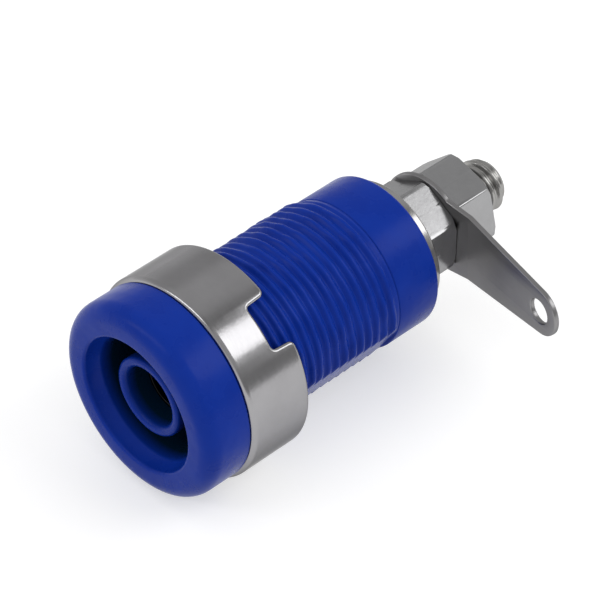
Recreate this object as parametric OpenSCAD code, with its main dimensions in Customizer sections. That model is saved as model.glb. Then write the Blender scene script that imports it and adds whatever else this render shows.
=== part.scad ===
// Shrouded 4 mm panel binding post with a slotted ring nut, a solder lug and an M4 terminal stud.
// Millimetres. The axis runs along Y, the plug goes in from -Y, and +Z is up.
// The origin is the centre of the panel seat, on the back of the head.

/* [Head] */
// Diameter of the round head in front of the panel
head_d = 14.5; // [14:0.1:16]
// Thickness of the head
head_t = 3.6; // [3:0.1:5]
// Rounding of the head's front edge
head_edge_r = 1.2; // [0.4:0.1:1.4]

/* [Shroud recess] */
// Diameter of the ring-shaped recess just inside its rim
recess_d = 10; // [9.6:0.1:10.4]
// Rounding of the recess rim
recess_rim_r = 0.25; // [0.1:0.05:0.4]
// Depth of the tapered lead-in
lead_in_depth = 1.1; // [0.8:0.1:1.8]
// Diameter at the end of the lead-in
throat_d = 9.4; // [9:0.1:9.5]
// Diameter of the recess at its floor
recess_floor_d = 8.6; // [8.2:0.1:8.8]
// Depth of the recess behind the front face
recess_depth = 13; // [10:0.5:13.5]

/* [Inner tube] */
// Outer diameter of the insulating tube in the recess
tube_d = 5.9; // [5.7:0.1:6.2]
// How far the tube ends behind the front face
tube_setback = 1.1; // [0.5:0.1:2]
// Rounding of the tube's outer edge
tube_edge_r = 0.25; // [0.1:0.05:0.35]
// Bore of the tube's lip, in front of the contact
tube_bore_d = 4.4; // [4.4:0.05:4.6]
// Rounding that leads a plug into the lip
tube_lead_in_r = 0.4; // [0.2:0.05:0.45]

/* [Barrel] */
// Outer diameter of the barrel's thread
thread_d = 12; // [11.8:0.1:12.4]
// Distance from ridge to ridge
thread_pitch = 0.75; // [0.75:0.05:1]
// Depth of the thread
thread_depth = 0.46; // [0.3:0.02:0.5]
// Plain neck between the head and the thread
neck_length = 0.6; // [0.4:0.1:1]
// Where the thread ends, behind the panel seat
thread_end = 15.1; // [13:0.1:16]
// Distance of the anti-turn flat from the axis
flat_distance = 5.45; // [5.3:0.05:5.6]
// Clock angle of the flat, from the top towards +X
flat_angle = 122; // [0:1:359]
// Diameter of the smooth collar behind the thread
collar_d = 11.4; // [10.6:0.1:11.6]
// Length of the body behind the panel seat
body_length = 18.9; // [18.5:0.1:21]
// Rounding of the collar's rear edge
collar_edge_r = 0.25; // [0.1:0.05:0.5]

/* [Contact] */
// Bore that takes the 4 mm plug
socket_bore_d = 4; // [4:0.05:4.1]
// Outer diameter of the contact's socket
socket_d = 5; // [4.8:0.1:5.2]
// How far the contact starts behind the end of the inner tube
socket_setback = 2; // [1:0.1:3]
// Length of the contact's front spigot, which centres it in the tube's lip
spigot_length = 0.4; // [0.2:0.1:0.8]
// Length of the socket bore
socket_bore_length = 16; // [14:0.5:16]
// Diameter of the two rings that key the contact into the moulding
key_ring_d = 7; // [6:0.2:8]
// Length of each key ring and of the groove between them
key_ring_length = 1.5; // [1:0.1:1.8]
// Diameter of the threaded terminal stud
stud_d = 4; // [4:0.1:4]
// Length of the stud behind the body
stud_length = 10.7; // [10.2:0.1:13]
// Distance from ridge to ridge of the stud's thread
stud_pitch = 0.7; // [0.5:0.05:0.8]
// Depth of the stud's thread
stud_thread_depth = 0.35; // [0.2:0.01:0.43]
// Chamfer at the stud's end
stud_chamfer = 0.3; // [0.1:0.1:0.6]

/* [Ring nut] */
// Outer diameter of the ring nut
ring_nut_d = 15; // [14.6:0.1:17]
// Length of the ring nut
ring_nut_length = 5; // [3:0.1:6]
// Rounding of its front lip
ring_nut_lip_r = 0.4; // [0.1:0.1:0.6]
// Rounding of its rear edge
ring_nut_rear_r = 0.2; // [0.1:0.1:0.5]
// Width of the two driver slots
ring_slot_width = 3.1; // [2:0.1:4]
// Depth of the driver slots
ring_slot_depth = 1.5; // [1:0.1:2.5]
// Clock angle of the slots
ring_slot_angle = 40; // [0:1:179]

/* [Terminal hardware] */
// Diameter of the washer behind the body
washer_d = 9.8; // [8:0.1:10.6]
// Thickness of the washer
washer_t = 0.9; // [0.5:0.1:1.2]
// Size of the hex nuts across their flats
nut_flats = 6.4; // [6:0.1:7]
// Length of the hex nuts
nut_length = 3.3; // [2.4:0.1:3.4]
// Diameter of the flat left on a nut's face inside the chamfer
nut_face_d = 6; // [5.4:0.1:6]
// Slope of the nut's chamfer, from the face
nut_chamfer_angle = 40; // [20:1:45]
// Clock angle of a corner of the clamp nut
clamp_nut_angle = 3; // [0:1:59]
// Clock angle of a corner of the terminal nut
terminal_nut_angle = 47; // [0:1:59]

/* [Solder lug] */
// Thickness of the lug's sheet
lug_t = 0.4; // [0.3:0.1:0.6]
// Radius of the lug's ring round the stud
lug_ring_r = 3.7; // [3.4:0.1:4]
// Radius of the circle round the stud that the tail's sides run off
lug_root_r = 3.2; // [2.6:0.1:3.4]
// Radius of the tail's round tip
lug_tip_r = 1.82; // [1.5:0.02:2.2]
// Distance of the wire hole from the stud's axis
lug_reach = 12.2; // [9:0.1:15]
// Diameter of the wire hole
lug_hole_d = 1.84; // [1:0.02:2.2]
// Distance of the bend from the stud
lug_bend_at = 4.2; // [4.2:0.1:5]
// Angle that the tail leans towards the head
lug_bend_angle = 10; // [1:1:20]
// Inner radius of the bend
lug_bend_r = 0.4; // [0.2:0.1:1]
// Clock angle that the lug points at
lug_angle = 88; // [0:1:359]

/* [Clearances] */
// Radial gap between the ring nut and the crests of the barrel's thread
thread_gap = 0.05; // [0.03:0.01:0.1]
// Radial gap between the hex nuts and the stud
nut_gap = 0.05; // [0.03:0.01:0.1]
// Radial gap between the loose washer and lug and the stud
washer_gap = 0.25; // [0.15:0.01:0.3]
// Chamfer at the mouths of the nuts' bores
bore_chamfer = 0.3; // [0.1:0.05:0.4]

/* [Hidden] */
$fn = 96;

front_y = -head_t;
tube_end_y = front_y + tube_setback;
recess_floor_y = front_y + recess_depth;
thread_root_r = thread_d / 2 - thread_depth;
stud_root_r = stud_d / 2 - stud_thread_depth;
socket_y = tube_end_y + socket_setback;
key_ring_y = recess_floor_y + key_ring_length;
stud_end_y = body_length + stud_length;
washer_y = body_length;
clamp_nut_y = washer_y + washer_t;
lug_y = clamp_nut_y + nut_length;
terminal_nut_y = lug_y + lug_t;
ring_bore_r = thread_d / 2 + thread_gap;
nut_bore_r = stud_d / 2 + nut_gap;
washer_bore_r = stud_d / 2 + washer_gap;
nut_corner_r = nut_flats / sqrt(3);
bend_steps = 4;
tip_steps = 24;
overlap = 1;

// Turns a profile drawn as (radius, distance behind the seat) round the post's axis.
module turned() {
    rotate([-90, 0, 0])
        rotate_extrude()
            children();
}

// Stands a solid that is drawn along Z on the post's axis, with its X pointing at a clock angle.
module clocked(angle, y) {
    rotate([-90, 0, 0])
        translate([0, 0, y])
            rotate([0, 0, angle - 90])
                children();
}

// Square corner of a profile less its rounding, to be cut away; sx and sy point out of the corner.
module corner(centre, r, sx, sy) {
    difference() {
        translate([min(centre.x, centre.x + sx * (r + overlap)), min(centre.y, centre.y + sy * (r + overlap))])
            square(r + overlap);
        translate(centre)
            circle(r);
    }
}

// Points along the side of a thread, drawn as rings at its pitch, from y0 to the last whole ring before y1.
function ridge_points(root_r, crest_r, pitch, y0, y1) = [
    for (i = [0 : floor((y1 - y0) / pitch) - 1])
        let (y = y0 + i * pitch, crest_width = pitch / 8)
            each [
                [root_r, y],
                [crest_r, y + (pitch - crest_width) / 2],
                [crest_r, y + (pitch + crest_width) / 2],
                [root_r, y + pitch]
            ]
];

module head_profile() {
    difference() {
        translate([0, front_y])
            square([head_d / 2, head_t]);
        corner([head_d / 2 - head_edge_r, front_y + head_edge_r], head_edge_r, 1, -1);
    }
}

module barrel_profile() {
    polygon(concat(
        [[0, -overlap], [thread_root_r, -overlap]],
        ridge_points(thread_root_r, thread_d / 2, thread_pitch, neck_length, thread_end),
        [[thread_root_r, thread_end + overlap], [0, thread_end + overlap]]
    ));
}

module collar_profile() {
    difference() {
        translate([0, thread_end])
            square([collar_d / 2, body_length - thread_end]);
        corner([collar_d / 2 - collar_edge_r, body_length - collar_edge_r], collar_edge_r, 1, 1);
    }
}

// Anti-turn flat, milled along the threaded length only.
module flat_cut() {
    clocked(flat_angle, 0)
        translate([flat_distance, -thread_d, 0])
            cube([thread_d, 2 * thread_d, thread_end]);
}

// Ring-shaped recess between the shroud and the inner tube.
module recess_profile() {
    mouth_r = recess_d / 2;
    difference() {
        polygon([
            [0, front_y - overlap],
            [mouth_r + recess_rim_r, front_y - overlap],
            [mouth_r + recess_rim_r, front_y],
            [mouth_r, front_y + recess_rim_r],
            [throat_d / 2, front_y + lead_in_depth],
            [recess_floor_d / 2, recess_floor_y],
            [0, recess_floor_y]
        ]);
        tube_profile();
        translate([mouth_r + recess_rim_r, front_y + recess_rim_r])
            circle(recess_rim_r);
    }
}

module tube_profile() {
    difference() {
        translate([0, tube_end_y])
            square([tube_d / 2, recess_depth]);
        corner([tube_d / 2 - tube_edge_r, tube_end_y + tube_edge_r], tube_edge_r, 1, -1);
    }
}

// Lip bore of the inner tube, flared towards the front.
module lip_profile() {
    flare_r = tube_bore_d / 2 + tube_lead_in_r;
    translate([0, front_y - overlap])
        square([tube_bore_d / 2, socket_y - front_y + overlap]);
    difference() {
        translate([0, tube_end_y - overlap])
            square([flare_r, tube_lead_in_r + overlap]);
        translate([flare_r, tube_end_y + tube_lead_in_r])
            circle(tube_lead_in_r);
    }
}

// Outside of the contact: spigot, socket, key rings, shank and stud. The body is moulded round it.
module contact_profile() {
    translate([0, socket_y])
        square([tube_bore_d / 2, spigot_length]);
    translate([0, socket_y + spigot_length])
        square([socket_d / 2, body_length - socket_y - spigot_length]);
    for (i = [0, 2])
        translate([0, key_ring_y + i * key_ring_length])
            square([key_ring_d / 2, key_ring_length]);
    polygon(concat(
        [[0, body_length - overlap], [stud_root_r, body_length - overlap]],
        ridge_points(stud_root_r, stud_d / 2, stud_pitch, body_length, stud_end_y - stud_chamfer),
        [[stud_root_r, stud_end_y - stud_chamfer], [stud_root_r - stud_chamfer, stud_end_y], [0, stud_end_y]]
    ));
}

module socket_bore_profile() {
    bore_r = socket_bore_d / 2;
    floor_y = socket_y + socket_bore_length;
    drill_point = bore_r * tan(31);
    polygon([
        [0, socket_y - overlap],
        [bore_r, socket_y - overlap],
        [bore_r, floor_y],
        [0, floor_y + drill_point]
    ]);
}

// Blue moulding: head, shroud, inner tube, threaded barrel and collar in one.
module body() {
    color([0.09, 0.19, 0.58])
        difference() {
            turned() {
                head_profile();
                barrel_profile();
                collar_profile();
            }
            turned() recess_profile();
            turned() lip_profile();
            turned() contact_profile();
            flat_cut();
        }
}

// Turned contact: the socket for the plug, the keyed shank and the stud.
module contact() {
    color([0.72, 0.72, 0.74])
        turned()
            difference() {
                contact_profile();
                socket_bore_profile();
            }
}

// Round nut that clamps the panel against the head, driven by the slots in its rear face.
module ring_nut() {
    outer_r = ring_nut_d / 2;
    color([0.66, 0.66, 0.68])
        difference() {
            turned()
                difference() {
                    translate([ring_bore_r, 0])
                        square([outer_r - ring_bore_r, ring_nut_length]);
                    corner([outer_r - ring_nut_lip_r, ring_nut_lip_r], ring_nut_lip_r, 1, -1);
                    corner([outer_r - ring_nut_rear_r, ring_nut_length - ring_nut_rear_r], ring_nut_rear_r, 1, 1);
                    bore_chamfers(ring_bore_r, ring_nut_length);
                }
            clocked(ring_slot_angle, ring_nut_length - ring_slot_depth)
                translate([-ring_nut_d, -ring_slot_width / 2, 0])
                    cube([2 * ring_nut_d, ring_slot_width, ring_slot_depth + overlap]);
        }
}

// Countersinks at both mouths of a bore, as a profile to cut away.
module bore_chamfers(bore_r, length) {
    polygon([[0, -overlap], [bore_r + bore_chamfer + overlap, -overlap], [bore_r, bore_chamfer], [0, bore_chamfer]]);
    polygon([
        [0, length + overlap],
        [bore_r + bore_chamfer + overlap, length + overlap],
        [bore_r, length - bore_chamfer],
        [0, length - bore_chamfer]
    ]);
}

module rear_washer() {
    color([0.75, 0.75, 0.77])
        turned()
            translate([washer_bore_r, washer_y])
                square([washer_d / 2 - washer_bore_r, washer_t]);
}

// Plain hex nut with both faces chamfered to a round face.
module hex_nut(angle, y) {
    corner_drop = (nut_corner_r - nut_face_d / 2) * tan(nut_chamfer_angle);
    color([0.66, 0.66, 0.68])
        clocked(angle, y)
            intersection() {
                linear_extrude(nut_length)
                    circle(nut_corner_r, $fn = 6);
                rotate_extrude()
                    difference() {
                        polygon([
                            [nut_bore_r, 0],
                            [nut_face_d / 2, 0],
                            [nut_corner_r, corner_drop],
                            [nut_corner_r, nut_length - corner_drop],
                            [nut_face_d / 2, nut_length],
                            [nut_bore_r, nut_length]
                        ]);
                        bore_chamfers(nut_bore_r, nut_length);
                    }
            }
}

module clamp_nut() {
    hex_nut(clamp_nut_angle, clamp_nut_y);
}

module terminal_nut() {
    hex_nut(terminal_nut_angle, terminal_nut_y);
}

// One face of the lug's sheet in side view, about the centre of its bend, from the ring to past the tip.
function sheet_face(bend_r) = concat(
    [[-lug_bend_at - lug_ring_r, bend_r]],
    [for (i = [0 : bend_steps]) let (a = lug_bend_angle * i / bend_steps) bend_r * [sin(a), cos(a)]],
    [bend_r * [sin(lug_bend_angle), cos(lug_bend_angle)] + lug_reach * [cos(lug_bend_angle), -sin(lug_bend_angle)]]
);

function reversed(points) = [for (i = [len(points) - 1 : -1 : 0]) points[i]];

// Side view of the lug's bent sheet: X away from the stud, Y towards the rear.
module lug_side() {
    translate([lug_bend_at, -lug_bend_r])
        polygon(concat(sheet_face(lug_bend_r), reversed(sheet_face(lug_bend_r + lug_t))));
}

// Outline of the lug's tail seen along the stud: it tapers from beside the stud to a round tip.
module tail_outline() {
    side_angle = asin((lug_root_r - lug_tip_r) / lug_reach);
    root = lug_root_r * [sin(side_angle), cos(side_angle)];
    tip_points = [
        for (i = [0 : tip_steps])
            let (a = (90 - side_angle) * (1 - 2 * i / tip_steps))
                [lug_reach, 0] + lug_tip_r * [cos(a), sin(a)]
    ];
    polygon(concat([root], tip_points, [[root.x, -root.y]]));
}

// Solder lug: a flat ring under the terminal nut, and a tail bent towards the head, clear of the clamp nut.
module solder_lug() {
    lug_span = lug_reach + lug_tip_r;
    mid_bend_r = lug_bend_r + lug_t / 2;
    hole_along_tail = (lug_reach - lug_bend_at - mid_bend_r * sin(lug_bend_angle)) / cos(lug_bend_angle);
    color([0.6, 0.6, 0.62])
        clocked(lug_angle, lug_y)
            difference() {
                union() {
                    cylinder(r = lug_ring_r, h = lug_t);
                    intersection() {
                        rotate([90, 0, 0])
                            linear_extrude(2 * lug_span, center = true)
                                lug_side();
                        linear_extrude(2 * lug_span, center = true)
                            tail_outline();
                    }
                }
                cylinder(r = washer_bore_r, h = 2 * lug_span, center = true);
                translate([lug_bend_at, 0, -lug_bend_r])
                    rotate([0, lug_bend_angle, 0])
                        translate([hole_along_tail, 0, mid_bend_r])
                            cylinder(d = lug_hole_d, h = 4 * lug_t, center = true);
            }
}

body();
contact();
ring_nut();
rear_washer();
clamp_nut();
solder_lug();
terminal_nut();
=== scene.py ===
# Shrouded panel binding post: blue moulding, nickel ring nut, solder lug and M4 terminal stud
from math import acos, asin, atan2, cos, pi, radians, sin, sqrt, tan
import bmesh
import bpy
from mathutils import Matrix, Vector, noise


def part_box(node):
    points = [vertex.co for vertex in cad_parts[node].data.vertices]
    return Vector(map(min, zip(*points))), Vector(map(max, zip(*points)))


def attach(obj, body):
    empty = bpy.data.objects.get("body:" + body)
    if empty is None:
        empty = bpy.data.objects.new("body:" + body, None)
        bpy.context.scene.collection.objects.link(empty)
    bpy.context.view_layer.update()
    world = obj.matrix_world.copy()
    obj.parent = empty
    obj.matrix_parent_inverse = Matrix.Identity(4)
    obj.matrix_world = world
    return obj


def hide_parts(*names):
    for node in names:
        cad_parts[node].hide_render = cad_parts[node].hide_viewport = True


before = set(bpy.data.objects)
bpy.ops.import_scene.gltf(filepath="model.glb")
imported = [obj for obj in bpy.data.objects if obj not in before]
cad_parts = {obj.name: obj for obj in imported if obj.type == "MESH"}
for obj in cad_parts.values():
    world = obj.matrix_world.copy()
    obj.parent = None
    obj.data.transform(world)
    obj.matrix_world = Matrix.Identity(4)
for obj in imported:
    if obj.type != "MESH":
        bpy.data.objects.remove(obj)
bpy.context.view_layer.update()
mm = 0.001
print("frame loaded:", ", ".join(sorted(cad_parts)))


def nodeSpan(node):  # lowest and highest corner of a CAD node, in mm
    low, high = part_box(node)
    return low / mm, high / mm


bodyLow, bodyHigh = nodeSpan("body")
contactLow, contactHigh = nodeSpan("contact")
ringLow, ringHigh = nodeSpan("ring_nut")
washerLow, washerHigh = nodeSpan("rear_washer")
clampLow, clampHigh = nodeSpan("clamp_nut")
terminalLow, terminalHigh = nodeSpan("terminal_nut")


def linearColour(hexCode):  # sRGB hex to linear RGBA
    channels = [int(hexCode[i:i + 2], 16) / 255 for i in (1, 3, 5)]
    return [c / 12.92 if c <= 0.04045 else ((c + 0.055) / 1.055) ** 2.4 for c in channels] + [1]


def addNode(tree, kind, settings={}, links={}):  # one node with its settings and its incoming links
    node = tree.nodes.new(kind)
    for key, value in settings.items():
        if isinstance(key, int) or key in node.inputs:
            node.inputs[key].default_value = value
        else:
            setattr(node, key, value)
    for key, source in links.items():
        tree.links.new(source, node.inputs[key])
    return node


def newMaterial(name):
    material = bpy.data.materials.new(name)
    material.use_nodes = True
    tree = material.node_tree
    tree.nodes.clear()
    return material, tree


def perMm(size):  # texture scale for a pattern that repeats about every size mm
    return 1 / (size * mm)


def arc(centreR, centreY, radius, start, end, steps=6):  # profile points, angles from +r towards +y
    turn = [radians(start + (end - start) * i / steps) for i in range(steps + 1)]
    return [(centreR + radius * cos(a), centreY + radius * sin(a)) for a in turn]


def evenly(count):
    return [2 * pi * i / count for i in range(count)]


def smooth(x, low, high):
    t = min(max((x - low) / (high - low), 0), 1)
    return t * t * (3 - 2 * t)


def pieceFrom(bm, name, sharpAngle=35):  # mesh object in metres from a bmesh in mm
    bmesh.ops.remove_doubles(bm, verts=bm.verts, dist=1e-5)
    bmesh.ops.recalc_face_normals(bm, faces=bm.faces)
    bmesh.ops.scale(bm, vec=(mm, mm, mm), verts=bm.verts)
    mesh = bpy.data.meshes.new(name)
    bm.to_mesh(mesh)
    bm.free()
    mesh.shade_smooth()
    mesh.set_sharp_from_angle(angle=radians(sharpAngle))
    piece = bpy.data.objects.new(name, mesh)
    bpy.context.scene.collection.objects.link(piece)
    flatFaces = piece.modifiers.new("flatFaces", "WEIGHTED_NORMAL")  # large faces shade flat, small edges round
    flatFaces.keep_sharp = True
    return piece


def turnedMesh(rowsAt, angles):  # closed profile swept round Y; rowsAt(angle) gives its (r, y) points in mm
    return loftedMesh([[(r, y, angle) for r, y in rowsAt(angle)] for angle in angles])


def loftedMesh(profiles):  # closed ring of profiles of (r, y, clock angle) points, angles from +Z towards +X
    bm = bmesh.new()
    columns = [[bm.verts.new((r * sin(angle), y, r * cos(angle))) for r, y, angle in rows] for rows in profiles]
    for here, after in zip(columns, columns[1:] + columns[:1]):
        for i in range(len(here)):
            j = (i + 1) % len(here)
            bm.faces.new((here[i], after[i], after[j], here[j]))
    bmesh.ops.dissolve_degenerate(bm, edges=bm.edges, dist=1e-6)
    return bm


def dress(piece, material, slot, body, *nodes):
    piece.data.materials.clear()
    piece.data.materials.append(material)
    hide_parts(*nodes)
    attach(piece, body)
    print("made", piece.name, len(piece.data.polygons), "faces")


# the insulating moulding: head, shroud, inner tube, threaded barrel and collar in one
moulding = dict(
    headR=bodyHigh.x, front=bodyLow.y, edgeR=1.2, seatEdgeR=0.15,
    mouthR=5.0, rimR=0.25, leadIn=1.1, throatR=4.7, floorR=4.3, recessDepth=13,
    tubeR=2.95, tubeSetback=1.1, tubeEdgeR=0.25, lipR=2.2, flareR=0.4, socketSetback=2, spigot=0.4,
    floorFillet=0.3, throatStepR=0.12, throatStep=0.15,
    crestR=6.0, rootR=5.66, pitch=0.75, threadStart=0.1, neck=0.6, beforeNeck=0.3, afterNeck=0.5,
    threadEnd=15.1, runOut=0.7, collarStep=0.12,
    wearLevel=0.82, wearSpread=0.5, wearScale=0.7,  # crests worn unevenly, over about 1.5 mm
    flatDistance=5.45, flatAngle=122, collarR=5.7, collarFrontR=0.1, collarEdgeR=0.3, rear=bodyHigh.y, shankR=2.5,
    rowsPerPitch=12, columns=256,
)


def threadHeight(y, angle, pitch):  # near 0 at the root and near 1 on the crest of a right-hand helix
    return smooth(0.5 + 0.5 * cos(2 * pi * y / pitch - angle), -0.2, 1.05)


def headRows(m):  # from the lip's inside, over the tube, recess, rim and head, to the seat
    tubeEnd = m["front"] + m["tubeSetback"]
    floorY = m["front"] + m["recessDepth"]
    return (
        [(m["lipR"], tubeEnd + m["socketSetback"] + m["spigot"])]
        + arc(m["lipR"] + m["flareR"], tubeEnd + m["flareR"], m["flareR"], 180, 270)
        + arc(m["tubeR"] - m["tubeEdgeR"], tubeEnd + m["tubeEdgeR"], m["tubeEdgeR"], -90, 0)
        + arc(m["tubeR"] + m["floorFillet"], floorY - m["floorFillet"], m["floorFillet"], 180, 90, 3)
        + [(m["floorR"], floorY)]
        + [(m["throatR"] - m["throatStepR"], m["front"] + m["leadIn"] + m["throatStep"])]
        + [(m["throatR"], m["front"] + m["leadIn"])]
        + arc(m["mouthR"] + m["rimR"], m["front"] + m["rimR"], m["rimR"], 180, 270)
        + arc(m["headR"] - m["edgeR"], m["front"] + m["edgeR"], m["edgeR"], -90, 0, 12)
        + arc(m["headR"] - m["seatEdgeR"], -m["seatEdgeR"], m["seatEdgeR"], 0, 90, 4)
        + [(m["rootR"], 0)]
    )


def barrelRows(m, angle):  # helical ridges, cut by the anti-turn flat
    delta = (angle - radians(m["flatAngle"]) + pi) % (2 * pi) - pi
    limit = m["flatDistance"] / cos(delta) if abs(delta) < 1 else m["crestR"]
    step = m["pitch"] / m["rowsPerPitch"]
    rows = []
    for i in range(int((m["threadEnd"] - m["threadStart"]) / step) + 1):
        y = m["threadStart"] + i * step
        run = smooth(y, m["neck"] - m["beforeNeck"], m["neck"] + m["afterNeck"])
        run *= 1 - smooth(y, m["threadEnd"] - m["runOut"], m["threadEnd"])
        spot = Vector((m["crestR"] * sin(angle), y, m["crestR"] * cos(angle)))
        wear = m["wearLevel"] + m["wearSpread"] * noise.noise(spot * m["wearScale"])
        height = threadHeight(y, angle, m["pitch"]) * run * min(wear, 1)
        r = m["rootR"] + (m["crestR"] - m["rootR"]) * height
        rows.append((min(r, limit), y))
    return rows


def collarRows(m):
    return (
        arc(m["collarR"] - m["collarFrontR"], m["threadEnd"] + m["collarStep"], m["collarFrontR"], -90, 0, 3)
        + arc(m["collarR"] - m["collarEdgeR"], m["rear"] - m["collarEdgeR"], m["collarEdgeR"], 0, 90)
        + [(m["shankR"], m["rear"])]
        + [(m["shankR"], m["front"] + m["tubeSetback"] + m["socketSetback"] + m["spigot"])]
    )


def makeBody():
    m = moulding
    head, collar = headRows(m), collarRows(m)
    bm = turnedMesh(lambda angle: head + barrelRows(m, angle) + collar, evenly(m["columns"]))
    return pieceFrom(bm, "blueMoulding", 40)


# the contact: socket, keyed shank and threaded stud, turned in one
turnedContact = dict(
    socketR=2.5, boreR=2.0, mouthR=0.1, spigotR=2.2, spigot=0.4, front=contactLow.y, boreLength=16, drillAngle=31,
    keyR=3.5, keyStart=10.9, keyLength=1.5, keyRings=(0, 2),  # rings, counted in key lengths from the first
    shoulder=bodyHigh.y, studR=2.0, rootR=1.65, pitch=0.7, threadStart=0.02, end=contactHigh.y,
    fadeFrom=0.55, fadeTo=0.15, tipChamfer=0.5, tipR=0.2,  # the thread fades out that far before the end
    rowsPerPitch=12, columns=128,
)


def contactRows(c, angle):
    boreFloor = c["front"] + c["boreLength"]
    rows = [(0, boreFloor + c["boreR"] * tan(radians(c["drillAngle"]))), (c["boreR"], boreFloor)]
    rows += arc(c["boreR"] + c["mouthR"], c["front"] + c["mouthR"], c["mouthR"], 180, 270, 4)
    rows += [(c["spigotR"], c["front"]), (c["spigotR"], c["front"] + c["spigot"])]
    rows += [(c["socketR"], c["front"] + c["spigot"])]
    for i in c["keyRings"]:
        start = c["keyStart"] + i * c["keyLength"]
        rows += [(c["socketR"], start), (c["keyR"], start), (c["keyR"], start + c["keyLength"])]
        rows += [(c["socketR"], start + c["keyLength"])]
    rows += [(c["socketR"], c["shoulder"])]
    step = c["pitch"] / c["rowsPerPitch"]
    for i in range(int((c["end"] - c["shoulder"]) / step)):
        y = c["shoulder"] + c["threadStart"] + i * step
        fade = 1 - smooth(y, c["end"] - c["fadeFrom"], c["end"] - c["fadeTo"])
        limit = c["studR"] - max(0, y - c["end"] + c["tipChamfer"])
        r = c["rootR"] + (c["studR"] - c["rootR"]) * threadHeight(y, angle, c["pitch"]) * fade
        rows.append((min(r, limit), y))
    rows += arc(c["studR"] - c["tipChamfer"] - c["tipR"], c["end"] - c["tipR"], c["tipR"], 30, 90, 4)
    return rows + [(0, c["end"])]


def makeContact():
    c = turnedContact
    bm = turnedMesh(lambda angle: contactRows(c, angle), evenly(c["columns"]))
    return pieceFrom(bm, "socketAndStud", 45)


# a turned ring with one driver slot milled right across its rear face
ringNut = dict(
    outerR=ringHigh.x, boreR=6.05, length=ringHigh.y, lipR=0.4, edgeR=0.26, mouth=0.3,
    slotWidth=3.2, slotDepth=1.75, slotAngle=40, cornerR=0.3, hornR=0.5, draft=0.06, columns=48,
)


def slotOutline(n):  # half of the slotted rear edge, from the slot's middle to the horn beside it
    # each point is (u, y, nu, ny): u across the slot, and a normal that points into the metal
    half, floorY, top = n["slotWidth"] / 2, n["length"] - n["slotDepth"], n["length"]
    inner, horn = half - n["cornerR"], half + n["draft"] + n["hornR"]
    points = [(inner * i / 4, floorY, 0, -1) for i in range(4)]
    for i in range(7):
        a = radians(-90 + 15 * i)
        points.append((inner + n["cornerR"] * cos(a), floorY + n["cornerR"] * (1 + sin(a)), cos(a), sin(a)))
    for i in range(7):
        a = radians(180 - 15 * i)
        points.append((horn + n["hornR"] * cos(a), top - n["hornR"] * (1 - sin(a)), -cos(a), -sin(a)))
    return points


def ringProfiles(n):  # one profile for each point of the rear edge, then evenly over the rest of the ring
    outline = slotOutline(n)
    reach = outline[-1][0]
    quarter = [(u, y, nu, ny, None) for u, y, nu, ny in outline]
    quarter += [(reach, n["length"], 0, -1, i / n["columns"]) for i in range(1, n["columns"])]

    def profile(base, side, u, y, nu, ny, along):
        def place(r, offset, rowY=None):  # a point at radius r, offset into the metal from the rear outline
            at = asin((u + offset * nu) / r)
            if along is not None:
                at = asin(reach / r) * (1 - along) + along * pi / 2
            return r, y + offset * ny if rowY is None else rowY, base + side * at

        e = n["edgeR"]
        turns = [radians(18 * i) for i in range(6)]
        rows = [place(n["boreR"], e, n["mouth"]), place(n["boreR"] + n["mouth"], e, ringLow.y)]
        rows += [place(r, e, rowY) for r, rowY in arc(n["outerR"] - n["lipR"], n["lipR"], n["lipR"], -90, 0, 8)]
        rows += [place(n["outerR"] - e * (1 - cos(a)), e * (1 - sin(a))) for a in turns]
        return rows + [place(n["boreR"] + e, 0), place(n["boreR"], e)]

    profiles = []
    for base in (radians(n["slotAngle"]), radians(n["slotAngle"]) + pi):
        profiles += [profile(base, -1, *q) for q in reversed(quarter[1:])]
        profiles += [profile(base, 1, *q) for q in quarter]
        profiles += [profile(base, 1, reach, n["length"], 0, -1, 1)]
    return profiles


def makeRingNut():
    return pieceFrom(loftedMesh(ringProfiles(ringNut)), "slottedRingNut", 40)


# a plain washer
washer = dict(outerR=washerHigh.x, boreR=2.25, edgeR=0.15, front=washerLow.y, rear=washerHigh.y, columns=128)


def washerRows(w):
    return (
        [(w["boreR"], w["front"])]
        + arc(w["outerR"] - w["edgeR"], w["front"] + w["edgeR"], w["edgeR"], -90, 0, 4)
        + arc(w["outerR"] - w["edgeR"], w["rear"] - w["edgeR"], w["edgeR"], 0, 90, 4)
        + [(w["boreR"], w["rear"])]
    )


def makeWasher():
    return pieceFrom(turnedMesh(lambda angle: washerRows(washer), evenly(washer["columns"])), "rearWasher")


# two hex nuts, their corners chamfered at both ends
hexNut = dict(
    flats=6.4, faceR=3.4, leastChamfer=0.04, chamferAngle=40, boreR=2.05, mouth=0.3, cornerR=0.16, edge=0.06,
    clampAngle=1, terminalAngle=46.5,
)


def hexRadius(nut, angle):  # polar outline of a hexagon with slightly rounded corners, a corner at 0
    delta = (angle + pi / 6) % (pi / 3) - pi / 6
    cornerCentre = (nut["flats"] / 2 - nut["cornerR"]) / cos(pi / 6)
    tangentAt = atan2(nut["cornerR"] * 0.5, cornerCentre + nut["cornerR"] * cos(pi / 6))
    if abs(delta) < tangentAt:
        return cornerCentre * cos(delta) + sqrt(nut["cornerR"] ** 2 - (cornerCentre * sin(delta)) ** 2)
    return nut["flats"] / 2 / cos(pi / 6 - abs(delta))


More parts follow.
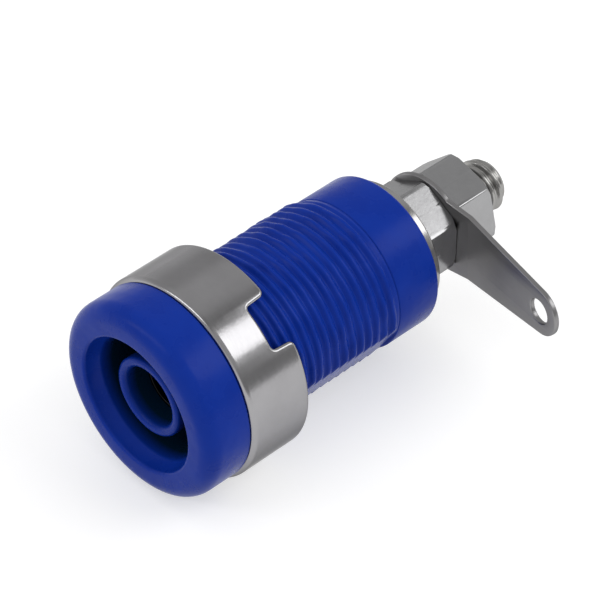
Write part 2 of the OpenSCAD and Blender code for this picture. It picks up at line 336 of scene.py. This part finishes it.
def nutRows(nut, front, rear, angle):
    r = hexRadius(nut, angle)
    faceR = min(nut["faceR"], r - nut["leastChamfer"])
    drop = (r - faceR) * tan(radians(nut["chamferAngle"]))
    e = min(nut["edge"], (r - faceR) / 2)
    faceSide = [(nut["boreR"] + nut["mouth"], 0), (faceR - e, 0), (faceR + e / 2, e / 3)]
    faceSide += [(r - e / 2, drop - e / 3), (r, drop + e)]
    rows = [(a, front + b) for a, b in faceSide]
    rows += [(a, rear - b) for a, b in reversed(faceSide)]
    rows += [(nut["boreR"], rear - nut["mouth"]), (nut["boreR"], front + nut["mouth"])]
    return rows


def makeHexNut(name, front, rear, cornerAngle):
    nearCorner = [-8, -4, -2.6, -1.8, -1.2, -0.6, 0, 0.6, 1.2, 1.8, 2.6, 4, 8]
    offsets = nearCorner + [12, 16, 20, 24, 28, 30, 32, 36, 40, 44, 48]
    angles = [radians(cornerAngle + 60 * side + step) for side in range(6) for step in offsets]
    rowsAt = lambda angle: nutRows(hexNut, front, rear, angle - radians(cornerAngle))
    return pieceFrom(turnedMesh(rowsAt, angles), name, 30)


# a stamped sheet with its tail bent towards the head
lug = dict(
    thickness=0.4, ringR=3.7, rootR=3.2, tipR=1.82, reach=12.2, holeR=0.92, studHoleR=2.25,
    bendAt=4.2, bendAngle=10, bendR=0.4, angle=88, edgeR=0.1, front=terminalLow.y - 0.4,
)


def lugBend(s, lift, l):  # (outward, rearward) place of a point s along the sheet, lift above its front face
    turn = radians(l["bendAngle"])
    midR = l["bendR"] + l["thickness"] / 2
    past = s - l["bendAt"]
    if past <= 0:
        return s, lift
    bent = min(past / midR, turn)
    straight = max(0, past - midR * turn)
    out = l["bendAt"] + (l["bendR"] + lift) * sin(bent) + straight * cos(bent)
    return out, -l["bendR"] + (l["bendR"] + lift) * cos(bent) - straight * sin(bent)


def lugOutline(l, reach):  # ring, tapered tail and round tip as one loop
    side = asin((l["rootR"] - l["tipR"]) / reach)
    joinR = acos(l["rootR"] / l["ringR"])
    tip = [(reach + l["tipR"] * cos(a), l["tipR"] * sin(a)) for a in
           [-(pi / 2 - side) + (pi - 2 * side) * i / 32 for i in range(33)]]
    start = pi / 2 - side - joinR
    ring = [(l["ringR"] * cos(a), l["ringR"] * sin(a)) for a in
            [start + (2 * pi - 2 * start) * i / 72 for i in range(73)]]
    return tip + ring


def makeLug():
    l = lug
    turn = radians(l["bendAngle"])
    midR = l["bendR"] + l["thickness"] / 2
    reach = l["bendAt"] + midR * turn + (l["reach"] - l["bendAt"] - midR * sin(turn)) / cos(turn)
    curve = bpy.data.curves.new("lugBlank", "CURVE")
    curve.dimensions, curve.fill_mode = "2D", "BOTH"
    curve.extrude, curve.bevel_depth, curve.bevel_resolution = l["thickness"] / 2 - l["edgeR"], l["edgeR"], 2
    grow = l["edgeR"]
    loops = [lugOutline(dict(l, ringR=l["ringR"] - grow, rootR=l["rootR"] - grow, tipR=l["tipR"] - grow), reach)]
    for x, r in ((0, l["studHoleR"] + grow), (reach, l["holeR"] + grow)):
        loops.append([(x + r * cos(a), r * sin(a)) for a in evenly(64)])
    for loop in loops:
        spline = curve.splines.new("POLY")
        spline.points.add(len(loop) - 1)
        for point, (x, y) in zip(spline.points, loop):
            point.co = (x, y, 0, 1)
        spline.use_cyclic_u = True
    blank = bpy.data.objects.new("lugBlank", curve)
    bpy.context.scene.collection.objects.link(blank)
    bpy.context.view_layer.update()
    mesh = bpy.data.meshes.new_from_object(blank.evaluated_get(bpy.context.evaluated_depsgraph_get()))
    bpy.data.objects.remove(blank)
    bm = bmesh.new()
    bm.from_mesh(mesh)
    bmesh.ops.remove_doubles(bm, verts=bm.verts, dist=1e-4)
    for i in range(5):
        cutAt = l["bendAt"] + midR * turn * i / 4
        geometry = bm.verts[:] + bm.edges[:] + bm.faces[:]
        bmesh.ops.bisect_plane(bm, geom=geometry, plane_co=(cutAt, 0, 0), plane_no=(1, 0, 0), dist=1e-5)
    pointing = radians(l["angle"])
    outward = Vector((sin(pointing), 0, cos(pointing)))
    sideways = Vector((cos(pointing), 0, -sin(pointing)))
    for vert in bm.verts:
        out, back = lugBend(vert.co.x, vert.co.z + l["thickness"] / 2, l)
        vert.co = outward * out + sideways * vert.co.y + Vector((0, l["front"] + back, 0))
    return pieceFrom(bm, "solderLug", 30)


# sizes in mm; within dimOuterR to dimInnerR the moulding's colour is painted darker, to the inside colour, from
# dimFrom
# to dimTo along Y and stays so behind it: painted shade in the recess and the tube's bore, and on a thin ring of
# the rear face round the washer
plastic = dict(
    light="#0E3499", deep="#092886", inside="#041C30", roughness=0.27, specular=0.08,
    cloud=2.5, grain=0.12, ripple=1.3, rippleHeight=0.09, dimOuterR=5.1, dimInnerR=4.7, dimFrom=-2.6, dimTo=-1.5,
)


def mouldedPolyamide():  # injection-moulded: satin skin, slight clouding of the colour, soft ripples
    p = plastic
    material, tree = newMaterial("blueMouldedPolyamide")
    place = addNode(tree, "ShaderNodeTexCoord")
    cloud = addNode(tree, "ShaderNodeTexNoise", {"Scale": perMm(p["cloud"]), "Detail": 3, "Roughness": 0.6},
                    {"Vector": place.outputs["Object"]})
    colour = addNode(tree, "ShaderNodeMix",
                     {"data_type": "RGBA", 6: linearColour(p["deep"]), 7: linearColour(p["light"])},
                     {0: cloud.outputs["Fac"]})
    split = addNode(tree, "ShaderNodeSeparateXYZ", {}, {"Vector": place.outputs["Object"]})
    across = addNode(tree, "ShaderNodeCombineXYZ", {}, {"X": split.outputs["X"], "Y": split.outputs["Z"]})
    radius = addNode(tree, "ShaderNodeVectorMath", {"operation": "LENGTH"}, {0: across.outputs["Vector"]})
    inRecess = addNode(tree, "ShaderNodeMapRange",
                       {"From Min": p["dimOuterR"] * mm, "From Max": p["dimInnerR"] * mm},
                       {"Value": radius.outputs["Value"]})
    depth = addNode(tree, "ShaderNodeMapRange", {"From Min": p["dimFrom"] * mm, "From Max": p["dimTo"] * mm},
                    {"Value": split.outputs["Y"]})
    paintedShadeAmount = addNode(tree, "ShaderNodeMath", {"operation": "MULTIPLY"},
                  {0: inRecess.outputs["Result"], 1: depth.outputs["Result"]})
    # painted shade: deep in the recess and the tube's bore the colour turns to the inside colour
    paintedShadeColour = addNode(tree, "ShaderNodeMix", {"data_type": "RGBA", 7: linearColour(p["inside"])},
                     {0: paintedShadeAmount.outputs[0], 6: colour.outputs[2]})
    grain = addNode(tree, "ShaderNodeTexNoise", {"Scale": perMm(p["grain"]), "Detail": 2},
                    {"Vector": place.outputs["Object"]})
    ripple = addNode(tree, "ShaderNodeTexNoise", {"Scale": perMm(p["ripple"]), "Detail": 1},
                     {"Vector": place.outputs["Object"]})
    skin = addNode(tree, "ShaderNodeBump", {"Strength": 0.12, "Distance": 0.02 * mm},
                   {"Height": grain.outputs["Fac"]})
    flow = addNode(tree, "ShaderNodeBump", {"Strength": 0.4, "Distance": p["rippleHeight"] * mm},
                   {"Height": ripple.outputs["Fac"], "Normal": skin.outputs["Normal"]})
    gloss = addNode(tree, "ShaderNodeMapRange", {"To Min": p["roughness"] - 0.05, "To Max": p["roughness"] + 0.07},
                    {"Value": cloud.outputs["Fac"]})
    shader = addNode(tree, "ShaderNodeBsdfPrincipled", {"IOR": 1.5, "Specular IOR Level": p["specular"]},
                     {"Base Color": paintedShadeColour.outputs[2], "Roughness": gloss.outputs["Result"],
                      "Normal": flow.outputs["Normal"]})
    addNode(tree, "ShaderNodeOutputMaterial", {}, {"Surface": shader.outputs["BSDF"]})
    return material


def platedMetal(name, light, deep, roughness, stain, lines, lineStrength, along, paintedShadeUpTo=-100):
    # plated over a machined surface: the tool's fine lines show through, with faint stains. The lines are drawn
    # about 0.1 mm apart, coarser than real ones, so that they show. Up to a given place along Y the colour is
    # painted
    # near black: painted shade for the inside of a bore. The grey Specular Tint holds back the glare at grazing
    # angles.
    material, tree = newMaterial(name)
    place = addNode(tree, "ShaderNodeTexCoord")
    blotch = addNode(tree, "ShaderNodeTexNoise", {"Scale": perMm(stain), "Detail": 4, "Roughness": 0.6},
                     {"Vector": place.outputs["Object"]})
    colour = addNode(tree, "ShaderNodeMix", {"data_type": "RGBA", 6: linearColour(deep), 7: linearColour(light)},
                     {0: blotch.outputs["Fac"]})
    stretch = addNode(tree, "ShaderNodeMapping", {"Scale": along}, {"Vector": place.outputs["Object"]})
    toolLines = addNode(tree, "ShaderNodeTexNoise", {"Scale": perMm(lines), "Detail": 3},
                        {"Vector": stretch.outputs["Vector"]})
    relief = addNode(tree, "ShaderNodeBump", {"Strength": lineStrength, "Distance": 0.01 * mm},
                     {"Height": toolLines.outputs["Fac"]})
    wave = addNode(tree, "ShaderNodeBump", {"Strength": 0.15, "Distance": 0.05 * mm},
                   {"Height": blotch.outputs["Fac"], "Normal": relief.outputs["Normal"]})
    gloss = addNode(tree, "ShaderNodeMapRange", {"To Min": roughness - 0.05, "To Max": roughness + 0.06},
                    {"Value": toolLines.outputs["Fac"]})
    # painted shade: the colour goes near black up to the given place along Y
    split = addNode(tree, "ShaderNodeSeparateXYZ", {}, {"Vector": place.outputs["Object"]})
    clearOfPaintedShade = addNode(tree, "ShaderNodeMapRange", {"From Min": paintedShadeUpTo * mm, "From Max": (paintedShadeUpTo + 2) * mm},
                     {"Value": split.outputs["Y"]})
    colourWithPaintedShade = addNode(tree, "ShaderNodeMix", {"data_type": "RGBA", 6: linearColour("#1A1A1C")},
                     {0: clearOfPaintedShade.outputs["Result"], 7: colour.outputs[2]})
    shader = addNode(tree, "ShaderNodeBsdfPrincipled", {"Metallic": 1, "Specular Tint": linearColour("#B4B4B4")},
                     {"Base Color": colourWithPaintedShade.outputs[2], "Roughness": gloss.outputs["Result"],
                      "Normal": wave.outputs["Normal"]})
    addNode(tree, "ShaderNodeOutputMaterial", {}, {"Surface": shader.outputs["BSDF"]})
    return material


blue = mouldedPolyamide()
ringNickel = platedMetal("satinNickelPlate", "#A3A2A4", "#969597", 0.17, 1.6, 0.12, 0.2, (0.15, 1, 0.15))
nutNickel = platedMetal("barrelPlatedNickel", "#A5A5A6", "#989899", 0.22, 1.1, 0.1, 0.2, (0.3, 1, 0.3))
washerNickel = platedMetal("brightNickelPlate", "#B0AFAE", "#A2A1A0", 0.2, 1.2, 0.1, 0.2, (0.2, 1, 0.2))
# the contact's colour is painted near black up to its bore's floor: painted shade in the bore
studNickel = platedMetal("turnedNickelPlate", "#A8A7A5", "#989795", 0.2, 1.0, 0.08, 0.3, (0.2, 1, 0.2),
                         turnedContact["front"] + turnedContact["boreLength"])
lugTin = platedMetal("tinPlatedSheet", "#939293", "#868586", 0.33, 2.0, 0.1, 0.2, (0.15, 1, 1))
print("materials ready")

dress(makeBody(), blue, "blue_moulding", "post", "body")
dress(makeContact(), studNickel, "contact_nickel", "post", "contact")
dress(makeRingNut(), ringNickel, "ring_nut_nickel", "ring", "ring_nut")
dress(makeWasher(), washerNickel, "washer_nickel", "post", "rear_washer")
dress(makeHexNut("clampNut", clampLow.y, clampHigh.y, hexNut["clampAngle"]), nutNickel, "hex_nut_nickel", "post",
      "clamp_nut")
dress(makeLug(), lugTin, "lug_tin", "lug", "solder_lug")
dress(makeHexNut("terminalNut", terminalLow.y, terminalHigh.y, hexNut["terminalAngle"]), nutNickel,
      "hex_nut_nickel", "terminal", "terminal_nut")


studio = dict(
    floorSize=1.6, paper="#D4D4D4", floorLift=0.46, ambient=0.82, wall=1.0, ceiling=0.6,
    # level of the room's reflection by clock angle: pale floor, grey walls and darker flags beside the softbox
    flags=[(-95, 1.0), (-82, 0.8), (-68, 0.54), (-50, 0.5), (-38, 0.62), (-18, 0.62), (-2, 0.55), (6, 0.35),
           (14, 0.3), (20, 0.65), (56, 0.65), (64, 0.45), (78, 0.33), (87, 0.36), (94, 1.0)],
    boxClock=39, boxLean=0.5157, boxDistance=0.6, boxWidth=0.27, boxLength=0.5, boxPower=1.0,
    fillFrom=(-0.35, -0.75, 0.56), fillWidth=0.5, fillLength=0.1, fillPower=0.5,
    endFrom=0.62, endTo=0.8,  # how far along Y a reflection points before it sees the end walls
)


def makeFloor():  # pale paper, white to the eye and to gloss, with the object's soft shadow kept
    s = studio
    bm = bmesh.new()
    bmesh.ops.create_grid(bm, x_segments=1, y_segments=1, size=s["floorSize"] / mm / 2)
    bmesh.ops.translate(bm, vec=(0, 0, ringLow.z), verts=bm.verts)
    sheet = pieceFrom(bm, "paperFloor")
    material, tree = newMaterial("whitePaper")
    paper = addNode(tree, "ShaderNodeBsdfDiffuse", {"Color": linearColour(s["paper"])})
    lift = addNode(tree, "ShaderNodeEmission", {"Color": (1, 1, 1, 1), "Strength": s["floorLift"]})
    both = addNode(tree, "ShaderNodeAddShader", {}, {0: paper.outputs["BSDF"], 1: lift.outputs["Emission"]})
    path = addNode(tree, "ShaderNodeLightPath")
    seen = addNode(tree, "ShaderNodeMath", {"operation": "MAXIMUM"},
                   {0: path.outputs["Is Camera Ray"], 1: path.outputs["Is Glossy Ray"]})
    mix = addNode(tree, "ShaderNodeMixShader", {},
                  {0: seen.outputs[0], 1: paper.outputs["BSDF"], 2: both.outputs[0]})
    addNode(tree, "ShaderNodeOutputMaterial", {}, {"Surface": mix.outputs[0]})
    sheet.data.materials.append(material)


def makeWorld():  # white to the eye, an even fill for matt surfaces, and a studio room for gloss
    s = studio
    world = bpy.data.worlds.new("studio")
    bpy.context.scene.world = world
    world.use_nodes = True
    tree = world.node_tree
    tree.nodes.clear()
    place = addNode(tree, "ShaderNodeTexCoord")
    split = addNode(tree, "ShaderNodeSeparateXYZ", {}, {"Vector": place.outputs["Generated"]})
    clock = addNode(tree, "ShaderNodeMath", {"operation": "ARCTAN2"},
                    {0: split.outputs["X"], 1: split.outputs["Z"]})
    turn = addNode(tree, "ShaderNodeMapRange", {"From Min": -pi, "From Max": pi}, {"Value": clock.outputs[0]})
    ramp = addNode(tree, "ShaderNodeValToRGB", {}, {"Fac": turn.outputs["Result"]})
    stops = ramp.color_ramp.elements
    for i, (degrees, level) in enumerate(s["flags"]):
        stop = stops.new(degrees / 360 + 0.5) if i else stops[0]
        stop.position, stop.color = degrees / 360 + 0.5, (level, level, level, 1)
    ahead = addNode(tree, "ShaderNodeMath", {"operation": "ABSOLUTE"}, {0: split.outputs["Y"]})
    endOn = addNode(tree, "ShaderNodeMapRange", {"From Min": s["endFrom"], "From Max": s["endTo"]},
                    {"Value": ahead.outputs[0]})
    wall = addNode(tree, "ShaderNodeMapRange", {"From Min": -0.05, "From Max": 0.4, "To Min": s["wall"],
                                                "To Max": s["ceiling"]}, {"Value": split.outputs["Z"]})
    level = addNode(tree, "ShaderNodeMix", {"data_type": "FLOAT"},
                    {0: endOn.outputs["Result"], 2: ramp.outputs["Color"], 3: wall.outputs["Result"]})
    room = addNode(tree, "ShaderNodeBackground", {"Color": (1, 1, 1, 1)}, {"Strength": level.outputs[0]})
    fill = addNode(tree, "ShaderNodeBackground", {"Color": (1, 1, 1, 1), "Strength": s["ambient"]})
    white = addNode(tree, "ShaderNodeBackground", {"Color": (1, 1, 1, 1), "Strength": 1})
    path = addNode(tree, "ShaderNodeLightPath")
    gloss = addNode(tree, "ShaderNodeMixShader", {}, {0: path.outputs["Is Glossy Ray"], 1: fill.outputs[0],
                                                      2: room.outputs[0]})
    look = addNode(tree, "ShaderNodeMixShader", {}, {0: path.outputs["Is Camera Ray"], 1: gloss.outputs[0],
                                                     2: white.outputs[0]})
    addNode(tree, "ShaderNodeOutputWorld", {}, {"Surface": look.outputs[0]})


def makeSoftbox(name, direction, width, length, power):  # a panel of light towards the object, long along Y
    s = studio
    lamp = bpy.data.lights.new(name, "AREA")
    lamp.shape, lamp.size, lamp.size_y, lamp.energy = "RECTANGLE", width, length, power
    box = bpy.data.objects.new(name, lamp)
    along = (Vector((0, 1, 0)) - direction * direction.y).normalized()
    across = along.cross(direction)
    turned = Matrix((across, along, direction)).transposed().to_4x4()
    box.matrix_world = Matrix.Translation(direction * s["boxDistance"]) @ turned
    bpy.context.scene.collection.objects.link(box)


def makeLights():  # the high strip draws the streak along the round metal, the low one in front lights the rims
    s = studio
    clock = radians(s["boxClock"])
    flat = sqrt(1 - s["boxLean"] ** 2)
    streak = Vector((flat * sin(clock), s["boxLean"], flat * cos(clock)))
    makeSoftbox("softbox", streak, s["boxWidth"], s["boxLength"], s["boxPower"])
    makeSoftbox("frontStrip", Vector(s["fillFrom"]).normalized(), s["fillWidth"], s["fillLength"], s["fillPower"])


viewCamera = dict(azimuth=46.23, elevation=41.8, lookAt=(4.06, 7.40, 5.08), distance=219.4, lens=202.5, sensor=36)


def makeCamera():
    c = viewCamera
    azimuth, elevation = radians(c["azimuth"]), radians(c["elevation"])
    back = Vector((sin(azimuth) * cos(elevation), -cos(azimuth) * cos(elevation), sin(elevation)))
    data = bpy.data.cameras.new("camera")
    data.lens, data.sensor_width, data.clip_start = c["lens"], c["sensor"], 0.01
    camera = bpy.data.objects.new("camera", data)
    camera.location = (Vector(c["lookAt"]) + back * c["distance"]) * mm
    camera.rotation_mode = "QUATERNION"
    camera.rotation_quaternion = back.to_track_quat("Z", "Y")
    bpy.context.scene.collection.objects.link(camera)
    bpy.context.scene.camera = camera


makeFloor()
makeWorld()
makeLights()
makeCamera()
bpy.context.scene.view_settings.view_transform = "Standard"
print("floor, light and camera ready")
